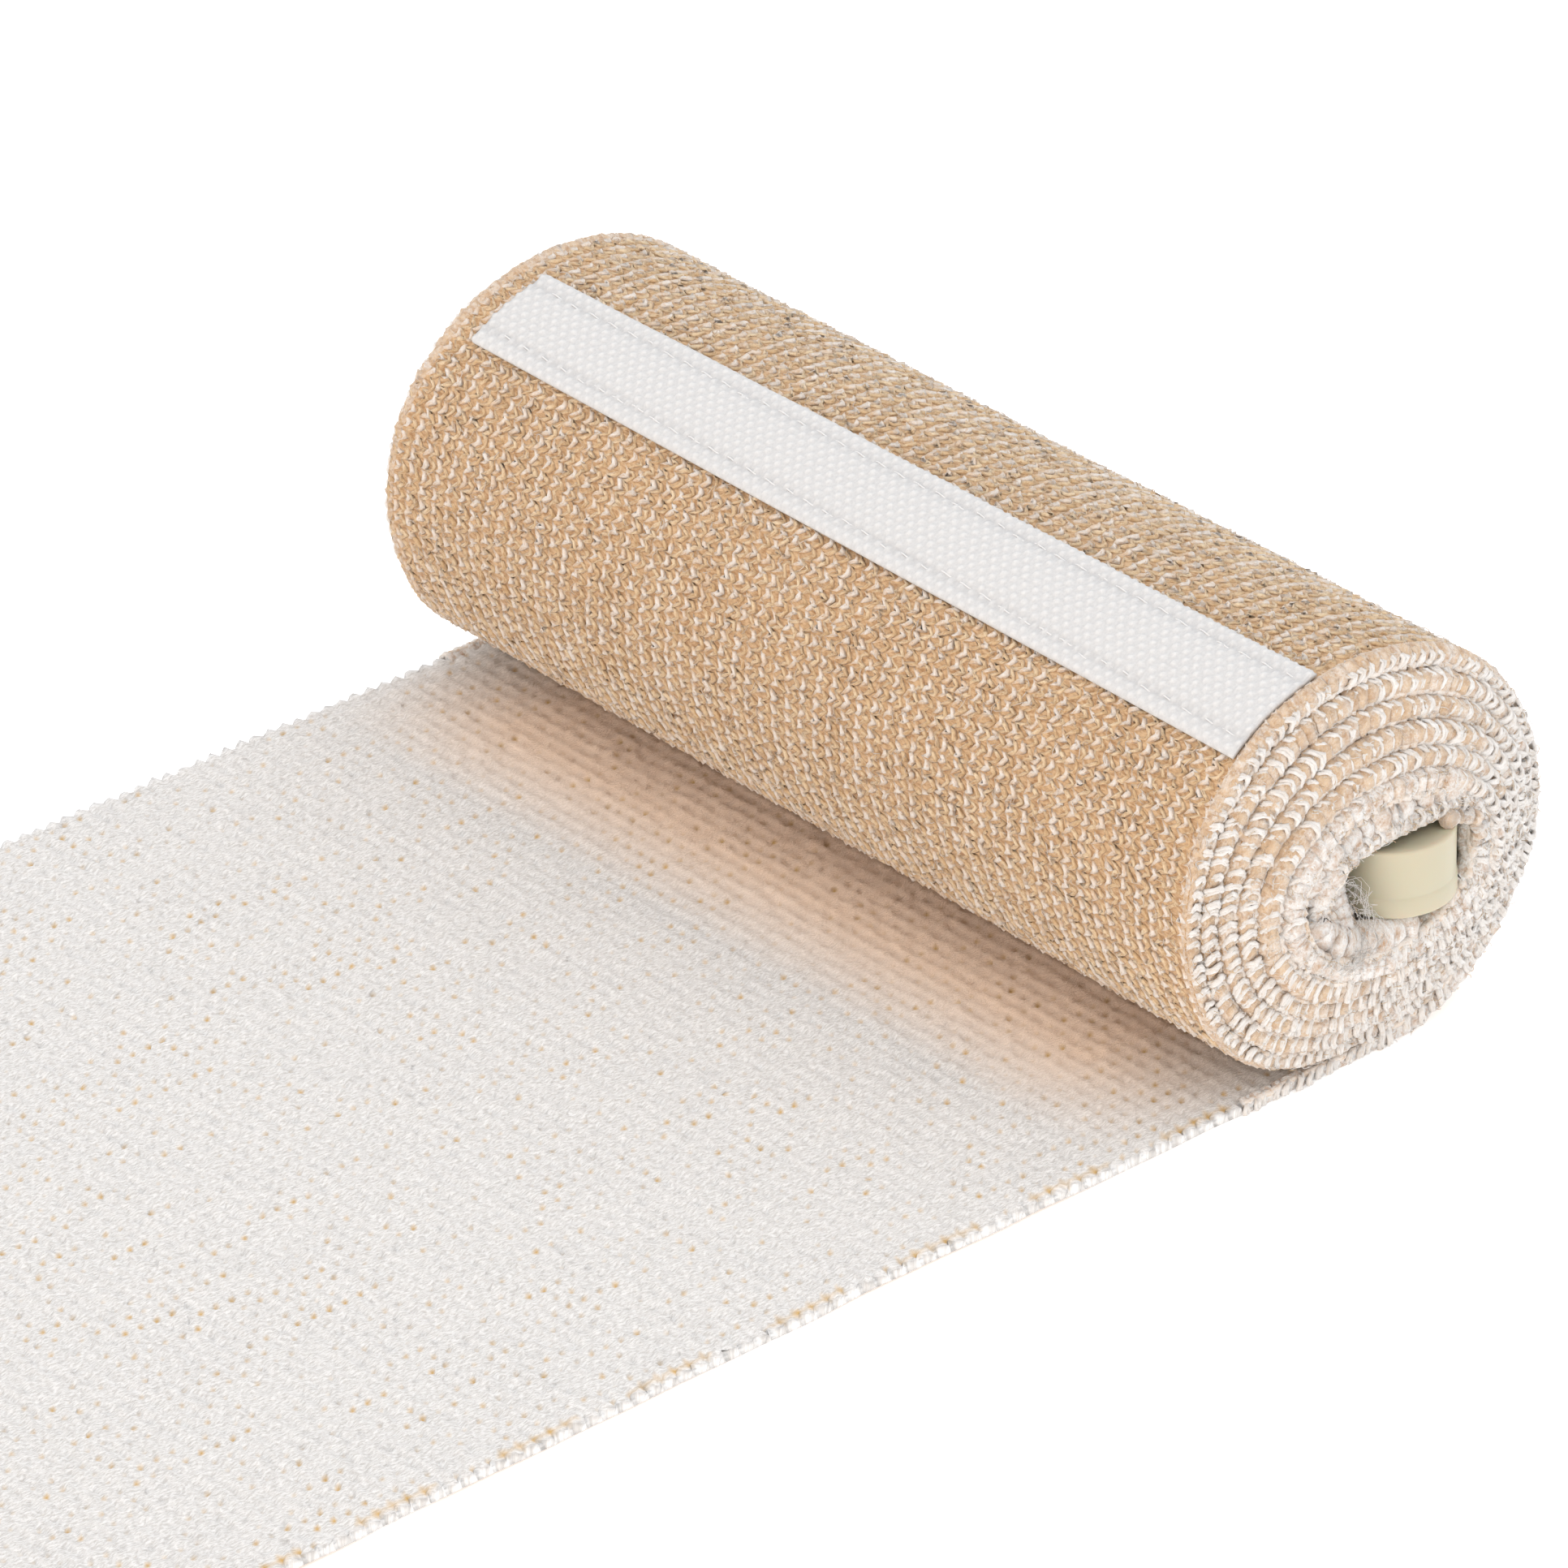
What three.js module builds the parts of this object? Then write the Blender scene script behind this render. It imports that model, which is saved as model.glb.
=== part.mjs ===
import * as THREE from 'three';

// Emergency pressure bandage: a band of elastic knit, rolled up round its plastic closure bar,
// with the loose tail lying flat in front of the roll and a hook tape sewn across the roll.
// Millimetres, +Z up. The roll's axis runs along Y and the tail points to -X.
// The origin is the middle of the bounding box, on the surface that the bandage lies on.

// Driving dimensions. X is counted from the roll's axis and Y from the middle of the band.
const BAND = { width: 100, thickness: 1.0, tailLength: 140, tailSteps: 14, stepsPerTurn: 48 };
const TAPE = { width: 9, nearEnd: -49.2, farEnd: 46.4, thickness: 0.9, startTurn: 0.526, steps: 6 };
const BAR = { width: 10.2, height: 5.9, length: 104, nearEnd: -54.4, across: 3.3, bottom: 13.45 };
const BAR_EDGE = { radius: 0.5, steps: 2, arcSteps: 14 };
const GAP = 0.3;

// At its top the roll is narrower: its near edge is set back more than its far edge.
const SET_BACK = { near: 0.9, far: 0.3 };

// Where the roll lies on its own tail it sags down and forwards, most in the outer turns.
const SAG = { depth: 1.9, angle: -125 * Math.PI / 180, sharpness: 4, from: 0.4, full: 0.75, turns: 6 };

// The turns from the outside in. A whole turn is read where the cloth passes its lowest point.
// halfWide and halfTall are the half sizes of the cloth's middle line there, across and up its
// centre, out is how far it has been pushed out of the near end, and square is 2 where the turn
// is oval and more where it bends closely round the bar's edges. The rows past 6 are the loose
// inner turn, which goes round the closure bar and ends as a small fold beside it.
const TURNS = [
  { turn: 0, halfWide: 18.6, halfTall: 17.4, across: -0.3, up: 17.9, out: 0, square: 2 },
  { turn: 1, halfWide: 17.4, halfTall: 15.02, across: -0.29, up: 17.94, out: 0.3, square: 2 },
  { turn: 2, halfWide: 16.1, halfTall: 13.33, across: -0.28, up: 17.62, out: 0.9, square: 2 },
  { turn: 3, halfWide: 14.72, halfTall: 11.63, across: -0.17, up: 17.33, out: 1.5, square: 2 },
  { turn: 4, halfWide: 13.38, halfTall: 9.93, across: -0.11, up: 17.02, out: 2.1, square: 2 },
  { turn: 5, halfWide: 11.86, halfTall: 8.27, across: 0.09, up: 16.76, out: 2.7, square: 2 },
  { turn: 6, halfWide: 10.19, halfTall: 6.72, across: 0.69, up: 16.61, out: 3, square: 2 },
  { turn: 6.12, halfWide: 9.78, halfTall: 6.42, across: 0.46, up: 16.68, out: 2.7, square: 2.1 },
  { turn: 6.25, halfWide: 8.45, halfTall: 5.3, across: 1.63, up: 16.53, out: 2.4, square: 2.8 },
  { turn: 6.38, halfWide: 7.36, halfTall: 4.69, across: 2.86, up: 16.18, out: 3, square: 3.2 },
  { turn: 6.5, halfWide: 7.6, halfTall: 4.5, across: 2.6, up: 16.2, out: 3, square: 3.2 },
  { turn: 6.62, halfWide: 8.2, halfTall: 4.4, across: 1.2, up: 16.2, out: 3, square: 2.6 },
  { turn: 6.75, halfWide: 7.6, halfTall: 4.3, across: 0.4, up: 16.2, out: 2.3, square: 2.2 },
  { turn: 7, halfWide: 2.6, halfTall: 3.6, across: -5.4, up: 16.3, out: 2, square: 2 },
  { turn: 7.25, halfWide: 1.3, halfTall: 3.2, across: -5.9, up: 16.2, out: 1.8, square: 2 },
  { turn: 7.36, halfWide: 1.2, halfTall: 3, across: -5.9, up: 16.2, out: 1.7, square: 2 },
];

const FINISHES = {
  bandage: { color: '#d7b58c', roughness: 0.95, metalness: 0 },
  closure_bar: { color: '#c8c09b', roughness: 0.4, metalness: 0 },
  fastening_tape: { color: '#ebebeb', roughness: 0.7, metalness: 0 },
};

// The sizes at any place along the winding, on a straight line between the rows around it.
function turnSizes(turn) {
  const above = TURNS.findIndex((row) => row.turn >= turn);
  const next = above < 0 ? TURNS.length - 1 : Math.max(above, 1);
  const [from, to] = [TURNS[next - 1], TURNS[next]];
  const part = (turn - from.turn) / (to.turn - from.turn);
  const sizes = {};
  for (const name of Object.keys(from)) {
    sizes[name] = THREE.MathUtils.lerp(from[name], to[name], part);
  }
  return sizes;
}

// A cosine or sine drawn towards 1, which makes an oval squarer.
function squared(value, square) {
  return Math.sign(value) * Math.abs(value) ** (2 / square);
}

// Where the middle line of the wound band is, and where its two edges are along the roll.
function woundStation(turn) {
  const size = turnSizes(turn);
  const angle = (turn - 0.25) * 2 * Math.PI;
  const wide = size.halfWide * squared(Math.cos(angle), size.square);
  const tall = size.halfTall * squared(Math.sin(angle), size.square);
  const rise = (1 + Math.sin(angle)) / 2;
  const begun = THREE.MathUtils.smoothstep(turn, SAG.from, SAG.full);
  const left = Math.max(0, 1 - turn / SAG.turns);
  const sag = SAG.depth * begun * left * Math.max(0, Math.cos(angle - SAG.angle)) ** SAG.sharpness;
  return {
    x: size.across + wide + sag * Math.cos(SAG.angle),
    z: size.up + tall + sag * Math.sin(SAG.angle),
    near: SET_BACK.near * rise - size.out - BAND.width / 2,
    far: BAND.width / 2 - SET_BACK.far * rise - size.out,
  };
}

// The way out of the roll at one station, square to the line through its neighbours.
function outwards(before, after) {
  return new THREE.Vector2(after.z - before.z, before.x - after.x).normalize();
}

// A closed sheet swept through its stations, with four corners at each.
function sheetGeometry(stations, thickness) {
  const final = stations.length - 1;
  const corners = [];
  stations.forEach(({ x, z, near, far }, i) => {
    const way = outwards(stations[Math.max(i - 1, 0)], stations[Math.min(i + 1, final)]);
    const dx = way.x * thickness / 2;
    const dz = way.y * thickness / 2;
    corners.push(x + dx, near, z + dz, x - dx, near, z - dz, x - dx, far, z - dz, x + dx, far, z + dz);
  });
  const end = final * 4;
  const faces = [0, 1, 2, 0, 2, 3, end, end + 2, end + 1, end, end + 3, end + 2];
  for (let ring = 0; ring < end; ring += 4) {
    for (let side = 0; side < 4; side += 1) {
      const a = ring + side;
      const b = ring + (side + 1) % 4;
      faces.push(a, a + 4, b + 4, a, b + 4, b);
    }
  }
  const geometry = new THREE.BufferGeometry();
  geometry.setAttribute('position', new THREE.Float32BufferAttribute(corners, 3));
  geometry.setIndex(faces);
  return geometry;
}

// The band is one cloth: a flat tail that runs under the roll and on into its turns.
function bandGeometry() {
  const stations = [];
  const rollStart = woundStation(0);
  for (let i = 0; i < BAND.tailSteps; i += 1) {
    const x = THREE.MathUtils.lerp(-BAND.tailLength, rollStart.x, i / BAND.tailSteps);
    stations.push({ ...rollStart, x });
  }
  const lastTurn = TURNS.at(-1).turn;
  const steps = Math.round(lastTurn * BAND.stepsPerTurn);
  for (let i = 0; i <= steps; i += 1) {
    stations.push(woundStation(lastTurn * i / steps));
  }
  return sheetGeometry(stations, BAND.thickness);
}

// The tape lies on the outside of the first turn, a little clear of the cloth.
function tapeGeometry() {
  const stations = [];
  const lift = (BAND.thickness + TAPE.thickness) / 2 + GAP;
  const turnLength = Math.PI * (TURNS[0].halfWide + TURNS[0].halfTall + 2 * lift);
  const step = TAPE.width / turnLength / TAPE.steps;
  for (let i = 0; i <= TAPE.steps; i += 1) {
    const turn = TAPE.startTurn + step * i;
    const under = woundStation(turn);
    const way = outwards(woundStation(turn - step), woundStation(turn + step));
    const x = under.x + way.x * lift;
    const z = under.z + way.y * lift;
    stations.push({ x, z, near: TAPE.nearEnd, far: TAPE.farEnd });
  }
  return sheetGeometry(stations, TAPE.thickness);
}

// A moulded bar with full round ends and eased edges.
function barGeometry() {
  const radius = BAR.width / 2;
  const nearCentre = BAR.nearEnd + radius;
  const farCentre = BAR.nearEnd + BAR.length - radius;
  const outline = new THREE.Shape();
  outline.absarc(BAR.across, nearCentre, radius, Math.PI, 2 * Math.PI, false);
  outline.absarc(BAR.across, farCentre, radius, 0, Math.PI, false);
  const geometry = new THREE.ExtrudeGeometry(outline, {
    depth: BAR.height - 2 * BAR_EDGE.radius,
    curveSegments: BAR_EDGE.arcSteps,
    bevelThickness: BAR_EDGE.radius,
    bevelSize: BAR_EDGE.radius,
    bevelOffset: -BAR_EDGE.radius,
    bevelSegments: BAR_EDGE.steps,
  });
  geometry.translate(0, 0, BAR.bottom + BAR_EDGE.radius);
  return geometry;
}

const pieces = {
  bandage: bandGeometry(),
  closure_bar: barGeometry(),
  fastening_tape: tapeGeometry(),
};

const bandage = new THREE.Group();
for (const [name, geometry] of Object.entries(pieces)) {
  const mesh = new THREE.Mesh(geometry, new THREE.MeshStandardMaterial(FINISHES[name]));
  mesh.name = name;
  bandage.add(mesh);
}

const bounds = new THREE.Box3().setFromObject(bandage);
const middle = bounds.getCenter(new THREE.Vector3());
bandage.position.set(-middle.x, -middle.y, -bounds.min.z);

export default bandage;
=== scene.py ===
import math

import bpy
import numpy as np
from mathutils import Matrix, Vector


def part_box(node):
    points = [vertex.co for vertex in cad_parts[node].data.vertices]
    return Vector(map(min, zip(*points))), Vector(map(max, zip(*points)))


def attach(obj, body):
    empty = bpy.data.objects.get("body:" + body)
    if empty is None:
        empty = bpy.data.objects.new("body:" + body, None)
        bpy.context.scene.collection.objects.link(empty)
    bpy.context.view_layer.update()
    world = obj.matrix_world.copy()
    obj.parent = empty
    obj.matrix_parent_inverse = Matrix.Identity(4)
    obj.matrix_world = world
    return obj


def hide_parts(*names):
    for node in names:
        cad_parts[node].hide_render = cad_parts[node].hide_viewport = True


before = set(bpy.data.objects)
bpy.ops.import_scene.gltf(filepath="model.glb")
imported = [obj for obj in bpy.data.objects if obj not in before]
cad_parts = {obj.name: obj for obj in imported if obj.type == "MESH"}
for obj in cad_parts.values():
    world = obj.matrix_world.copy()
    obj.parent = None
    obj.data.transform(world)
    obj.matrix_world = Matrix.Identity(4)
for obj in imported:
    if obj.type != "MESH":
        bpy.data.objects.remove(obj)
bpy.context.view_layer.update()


# the camera
# A long lens looks down on the roll from in front of its near end and its tail.
# All places in this file are in millimetres from the roll's axis, the middle of the band
# and the surface that the bandage lies on. ORIGIN is where that point is in the CAD's frame.
MM = 0.001
TAIL_LENGTH = 140.0
BAR_NEAR_END = 54.4
ORIGIN = Vector((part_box("bandage")[0].x + TAIL_LENGTH * MM,
                 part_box("closure_bar")[0].y + BAR_NEAR_END * MM, 0))

CAMERA_PLACE = Vector((-510.937, -613.922, 456.277))
CAMERA_AZIMUTH = math.radians(-38.7797)
CAMERA_ELEVATION = math.radians(29.4952)
CAMERA_ROLL = math.radians(-2.5058)
CAMERA_LENS, CAMERA_SENSOR = 258.46, 36.0

flat_part = math.cos(CAMERA_ELEVATION)
back = Vector((math.sin(CAMERA_AZIMUTH) * flat_part, -math.cos(CAMERA_AZIMUTH) * flat_part,
               math.sin(CAMERA_ELEVATION)))
level = Vector((math.cos(CAMERA_AZIMUTH), math.sin(CAMERA_AZIMUTH), 0))
upright = back.cross(level)
right = math.cos(CAMERA_ROLL) * level + math.sin(CAMERA_ROLL) * upright
up = math.cos(CAMERA_ROLL) * upright - math.sin(CAMERA_ROLL) * level
camera_axes = Matrix((right, up, back)).transposed().to_4x4()
camera = bpy.data.objects.new("camera", bpy.data.cameras.new("camera"))
camera.data.lens = CAMERA_LENS
camera.data.sensor_width = CAMERA_SENSOR
camera.matrix_world = Matrix.Translation(ORIGIN + CAMERA_PLACE * MM) @ camera_axes
bpy.context.scene.collection.objects.link(camera)
bpy.context.scene.camera = camera
bpy.context.scene.view_settings.view_transform = "Standard"


# floor and light
# The bandage lies on an opal light table in a white tent. Two wide soft panels light it from above
# and in front, and a small warm card stands low beyond the tail. These sizes are in metres.
TABLE_WIDTH, TABLE_GLOW = 30.0, 0.35
TENT_LIGHT = 1.16
PANELS = (  # name, place, width, watts, tint
    ("top_panel", (0.25, 0.1, 1.3), 1.1, 3.0, "#ffffff"),
    ("front_panel", (0.5, -1.0, 0.45), 0.9, 1.1, "#ffffff"),
    ("warm_card", (-0.75, -0.25, 0.14), 0.45, 2.1, "#ffdcb8"),
)


def colour(text):
    """An sRGB hex value as the linear colour that Blender's nodes take."""
    parts = [int(text[i:i + 2], 16) / 255 for i in (1, 3, 5)]
    return (*[p / 12.92 if p <= 0.04045 else ((p + 0.055) / 1.055) ** 2.4 for p in parts], 1)


def add_node(tree, kind, inputs=None, **options):
    """Adds one node. Each input is a plain value or the output that it is linked to."""
    node = tree.nodes.new(kind)
    for name, value in options.items():
        setattr(node, name, value)
    for name, value in (inputs or {}).items():
        if isinstance(value, bpy.types.NodeSocket):
            tree.links.new(value, node.inputs[name])
        else:
            node.inputs[name].default_value = value
    return node


def start_material(name, **values):
    """A new material, with these values on its shader's own sockets."""
    made = bpy.data.materials.new(name)
    made.use_nodes = True
    shader = made.node_tree.nodes["Principled BSDF"]
    for socket, value in values.items():
        shader.inputs[socket.replace("_", " ")].default_value = value
    return made, made.node_tree, shader


# Matt opal acrylic, lit from below: plain white, with hardly a shadow on it.
opal_acrylic = start_material("White_opal_acrylic", Base_Color=colour("#fbfaf9"), Roughness=0.9,
                              Emission_Color=colour("#ffffff"), Emission_Strength=TABLE_GLOW)[0]
bpy.ops.object.select_all(action="DESELECT")
bpy.ops.mesh.primitive_plane_add(size=TABLE_WIDTH)
floor = bpy.context.object
floor.name = "floor"
floor.data.materials.append(opal_acrylic)

tent = bpy.data.worlds.new("tent")
tent.use_nodes = True
tent.node_tree.nodes["Background"].inputs["Color"].default_value = colour("#fdfdff")
tent.node_tree.nodes["Background"].inputs["Strength"].default_value = TENT_LIGHT
bpy.context.scene.world = tent

for name, place, width, watts, tint in PANELS:
    lamp = bpy.data.lights.new(name, "AREA")
    lamp.color = colour(tint)[:3]
    lamp.size = width
    lamp.energy = watts
    panel = bpy.data.objects.new(name, lamp)
    panel.location = place
    panel.rotation_euler = Vector(place).to_track_quat("Z", "Y").to_euler()
    bpy.context.scene.collection.objects.link(panel)


# the band
# Elastic bandage cloth: a warp knit of cotton and elastane, 100 mm wide, tan outside and off-white
# inside. One length: a flat tail, then the roll round the bar. Built from the same turns as the CAD.
BAND_WIDTH = 100.0
TAN_HALF, WHITE_HALF = 0.45, 0.06  # from the middle line to the two sides of the ground cloth
LOWEST = 0.02  # the cloth stays this far above the table
SET_BACK_NEAR, SET_BACK_FAR = 0.9, 0.3  # how far the edges draw in at the top of the roll
SAG_DEPTH, SAG_ANGLE, SAG_SHARPNESS = 1.9, math.radians(-125), 4
SAG_FROM, SAG_FULL, SAG_TURNS = 0.4, 0.75, 6
TURN_COLUMNS = ("turn", "half_wide", "half_tall", "across", "up", "out", "square")
TURNS = np.array((
    (0, 18.6, 17.4, -0.3, 17.9, 0, 2),
    (1, 17.4, 15.02, -0.29, 17.94, 0.3, 2),
    (2, 16.1, 13.33, -0.28, 17.62, 0.9, 2),
    (3, 14.72, 11.63, -0.17, 17.33, 1.5, 2),
    (4, 13.38, 9.93, -0.11, 17.02, 2.1, 2),
    (5, 11.86, 8.27, 0.09, 16.76, 2.7, 2),
    (6, 10.19, 6.72, 0.69, 16.61, 3, 2),
    (6.12, 9.78, 6.42, 0.46, 16.68, 2.7, 2.1),
    (6.25, 8.45, 5.3, 1.63, 16.53, 2.4, 2.8),
    (6.38, 7.36, 4.69, 2.86, 16.18, 3, 3.2),
    (6.5, 7.6, 4.5, 2.6, 16.2, 3, 3.2),
    (6.62, 8.2, 4.4, 1.2, 16.2, 3, 2.6),
    (6.75, 7.6, 4.3, 0.4, 16.2, 2.3, 2.2),
    (7, 2.6, 3.6, -5.4, 16.3, 2, 2),
    (7.25, 1.3, 3.2, -5.9, 16.2, 1.8, 2),
    (7.36, 1.2, 3, -5.9, 16.2, 1.7, 2),
))
STATIONS_PER_TURN, TAIL_STATIONS = 160, 280


def squared(value, square):
    """A cosine or sine drawn towards 1, which makes an oval squarer."""
    return np.sign(value) * np.abs(value) ** (2 / square)


def with_tail(flat, wound):
    """Values along the whole band: one for all of the flat tail, then those of the turns."""
    return np.concatenate([np.full(TAIL_STATIONS, flat), wound])


turn = np.linspace(0, TURNS[-1, 0], int(TURNS[-1, 0] * STATIONS_PER_TURN))
sizes = {name: np.interp(turn, TURNS[:, 0], TURNS[:, i]) for i, name in enumerate(TURN_COLUMNS)}
angle = (turn - 0.25) * 2 * math.pi
rise = (1 + np.sin(angle)) / 2
begun = np.clip((turn - SAG_FROM) / (SAG_FULL - SAG_FROM), 0, 1)
sag = SAG_DEPTH * begun * begun * (3 - 2 * begun) * np.clip(1 - turn / SAG_TURNS, 0, 1)
sag = sag * np.clip(np.cos(angle - SAG_ANGLE), 0, 1) ** SAG_SHARPNESS
wide = squared(np.cos(angle), sizes["square"])
tall = squared(np.sin(angle), sizes["square"])
wound_x = sizes["across"] + sizes["half_wide"] * wide + sag * math.cos(SAG_ANGLE)
wound_z = sizes["up"] + sizes["half_tall"] * tall + sag * math.sin(SAG_ANGLE)
tail_x = np.linspace(-TAIL_LENGTH, wound_x[0], TAIL_STATIONS, endpoint=False)

line_x = np.concatenate([tail_x, wound_x])
line_z = with_tail(wound_z[0], wound_z)
line_near = with_tail(-BAND_WIDTH / 2, SET_BACK_NEAR * rise - sizes["out"] - BAND_WIDTH / 2)
line_far = with_tail(BAND_WIDTH / 2, BAND_WIDTH / 2 - SET_BACK_FAR * rise - sizes["out"])
line_turn = with_tail(0.0, turn)
line_along = np.concatenate([[0], np.cumsum(np.hypot(np.diff(line_x), np.diff(line_z)))])
BAND_LENGTH = float(line_along[-1])
ROLL_START = float(line_along[TAIL_STATIONS])
slope_x, slope_z = np.gradient(line_x, line_along), np.gradient(line_z, line_along)
steep = np.hypot(slope_x, slope_z)
line_out_x, line_out_z = slope_z / steep, -slope_x / steep

# At its edges the cloth swells until it meets the next turn. This is how far it reaches on each side:
# halfway to the next turn within these limits, or a set reach where there is no next turn.
LEAST_REACH, MOST_OUT, MOST_IN = 0.5, 1.05, 1.25
FREE_REACH, FOLD_REACH, FOLD_FROM = 0.6, 1.1, 6.62


def halfway(turns_on):
    """Half of the way from each turn's middle line to the one that many turns further in."""
    return np.hypot(np.interp(turn + turns_on, turn, wound_x) - wound_x,
                    np.interp(turn + turns_on, turn, wound_z) - wound_z) / 2


reach_out = np.where(turn > 1, np.clip(halfway(-1), LEAST_REACH, MOST_OUT), FREE_REACH)
reach_in = np.where(turn < TURNS[-1, 0] - 1, np.clip(halfway(1), LEAST_REACH, MOST_IN),
                    np.where(turn > FOLD_FROM, FOLD_REACH, FREE_REACH))
line_reach_out = with_tail(FREE_REACH, reach_out)
line_reach_in = with_tail(FREE_REACH, reach_in)


def reached(along, share):
    """A lift from a share of the reach: 1 is as far as the tan side goes and -1 the white side."""
    out = np.interp(along, line_along, line_reach_out)
    inwards = np.interp(along, line_along, line_reach_in)
    return share * np.where(share > 0, out, inwards)


def waves(along, across, lengths):
    """A smooth uneven height between -1 and 1: two crossing waves of each of these lengths, with odd
    leans and phases, so that they don't line up."""
    total = np.zeros(np.broadcast(along, across).shape)
    for i, length in enumerate(lengths):
        lean = 0.7 + 1.3 * i
        total = total + np.sin(2 * math.pi * (along + lean * across / (1 + i)) / length + 1.7 * i)
        total = total + np.sin(2 * math.pi * (across - 0.45 * along) / (length * 0.8) + 2.9 * i)
    return total / (2 * len(lengths))


# Neither edge is quite straight. The cloth ripples a little where it is loose, and its tail lies in
# low waves that start FLAT_END before the roll and are full FLAT_EASE further on.
NEAR_DRIFT, FAR_DRIFT, DRIFT_LENGTHS = 0.22, 0.2, (61.0, 23.0, 9.0)
LOOSE_UNTIL, LOOSE_WAVE = 1.2, 0.1
FLAT_END, FLAT_EASE, FLAT_WAVE = 12, 20, 0.16
WAVE_LENGTHS = (47.0, 19.0)


def on_band(along, across, lift):
    """Points on the band: along it from the tail's free end, across it from its middle, and out of
    its middle line towards the tan face. The second result is the way out at each point."""
    along, across, lift = np.broadcast_arrays(along, across, lift)
    x, z, near, far, out_x, out_z, turned = [
        np.interp(along, line_along, line)
        for line in (line_x, line_z, line_near, line_far, line_out_x, line_out_z, line_turn)]
    loose = np.clip(LOOSE_UNTIL - turned, 0, 1)
    flat = np.clip((ROLL_START - FLAT_END - along) / FLAT_EASE, 0, 1)
    drift = waves(along, 0.0, DRIFT_LENGTHS)
    share = (across + BAND_WIDTH / 2) / BAND_WIDTH
    y = (near + NEAR_DRIFT * drift) * (1 - share) + (far + FAR_DRIFT * drift) * share
    uneven = waves(along, across, WAVE_LENGTHS)
    lift = lift + LOOSE_WAVE * loose * (1 - flat) * uneven - FLAT_WAVE * flat * (1 + uneven)
    points = np.stack([x + out_x * lift, y, np.maximum(z + out_z * lift, LOWEST)], -1)
    return points, np.stack([out_x, 0 * out_x, out_z], -1)


def make_piece(name, points, faces, materials, face_uv=None, tone=None, face_material=None):
    """A mesh piece from points in millimetres. face_uv has one pair a corner, tone one value a point
    and face_material one number a face."""
    mesh = bpy.data.meshes.new(name)
    mesh.from_pydata((points * MM + np.array(ORIGIN)).tolist(), [], faces)
    for material in materials:
        mesh.materials.append(material)
    if face_uv is not None:
        layer = mesh.uv_layers.new(name="run")
        layer.data.foreach_set("uv", np.asarray(face_uv, np.float32).ravel())
    if tone is not None:
        layer = mesh.attributes.new("tone", "FLOAT", "POINT")
        layer.data.foreach_set("value", np.asarray(tone, np.float32).ravel())
    if face_material is not None:
        mesh.polygons.foreach_set("material_index", face_material)
    mesh.shade_smooth()
    mesh.validate()
    made = bpy.data.objects.new(name, mesh)
    bpy.context.scene.collection.objects.link(made)
    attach(made, "root")
    return made


def wrapped_sheet(top, bottom):
    """Points and faces of a closed sheet from the points of its two sides, top[row, column]. Row by
    row the faces go round it, and those of its two ends come last."""
    rows, columns = top.shape[:2]
    ring = np.concatenate([top, bottom[:, ::-1]], axis=1)
    index = np.arange(rows * 2 * columns).reshape(rows, 2 * columns)
    beside = np.roll(index, -1, axis=1)
    quads = np.stack([index[:-1], beside[:-1], beside[1:], index[1:]], -1).reshape(-1, 4)
    over, under = index[:, :columns], index[:, ::-1][:, :columns]
    start = np.stack([over[0, :-1], under[0, :-1], under[0, 1:], over[0, 1:]], -1)
    end = np.stack([over[-1, :-1], over[-1, 1:], under[-1, 1:], under[-1, :-1]], -1)
    return ring.reshape(-1, 3), np.concatenate([quads, start, end])


# The sockets of a mix of two colours, which have no names of their own.
FACTOR, FIRST, SECOND, MIXED = 0, 6, 7, 2

# Cotton and elastane knit: in the gaps between the stitches, tan fibres in clumps 0.25 mm wide and
# 0.8 mm long that lie across the band, brown where the light doesn't reach.
tan_ground, tree, shader = start_material("Tan_cotton_elastane_knit", Roughness=0.95, Sheen_Weight=0.25)
run = add_node(tree, "ShaderNodeUVMap", uv_map="run").outputs[0]
lying = add_node(tree, "ShaderNodeMapping", {"Vector": run, "Scale": (4.0, 1.3, 1.0)}).outputs[0]
clumps = add_node(tree, "ShaderNodeTexNoise", {"Vector": lying, "Scale": 1.0, "Detail": 3,
                                               "Roughness": 0.6})
lit = add_node(tree, "ShaderNodeMapRange", {"Value": clumps.outputs[0], "From Min": 0.36,
                                            "From Max": 0.6})
ground = add_node(tree, "ShaderNodeMix", {FACTOR: lit.outputs[0], FIRST: colour("#a77e55"),
                                          SECOND: colour("#d2b189")}, data_type="RGBA")
tree.links.new(ground.outputs[MIXED], shader.inputs["Base Color"])
fibres = add_node(tree, "ShaderNodeTexNoise", {"Vector": lying, "Scale": 1.3, "Detail": 4,
                                               "Roughness": 0.65})
bump = add_node(tree, "ShaderNodeBump", {"Height": fibres.outputs[0], "Strength": 0.6,
                                         "Distance": 0.0004})
tree.links.new(bump.outputs[0], shader.inputs["Normal"])

# The same cloth's inner face: off-white cotton, through which the tan yarn shows in some of the holes
# between the stitches. Its fibres, in clumps 0.17 mm wide, lean one way across the band. Where the
# cloth bends up into the roll, in the roll's shade, it is painted warmer and lighter, except at its
# edges: painted light in place of the warm light that the roll throws into its shade.
# Where the painted warm light fades in before the roll, and where it fades out towards the edges.
BOUNCE_BEFORE, BOUNCE_FULL = 27, 17
BOUNCE_NONE_ACROSS, BOUNCE_FULL_ACROSS = 50, 36
white_ground, tree, shader = start_material("Off_white_cotton_knit", Roughness=0.9, Sheen_Weight=0.2)
run = add_node(tree, "ShaderNodeUVMap", uv_map="run").outputs[0]
lean = add_node(tree, "ShaderNodeMapping", {"Vector": run, "Rotation": (0, 0, math.radians(40)),
                                            "Scale": (1.6, 5.0, 1.0)}).outputs[0]
fibres = add_node(tree, "ShaderNodeTexNoise", {"Vector": lean, "Scale": 1.2, "Detail": 4,
                                               "Roughness": 0.7})
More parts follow.
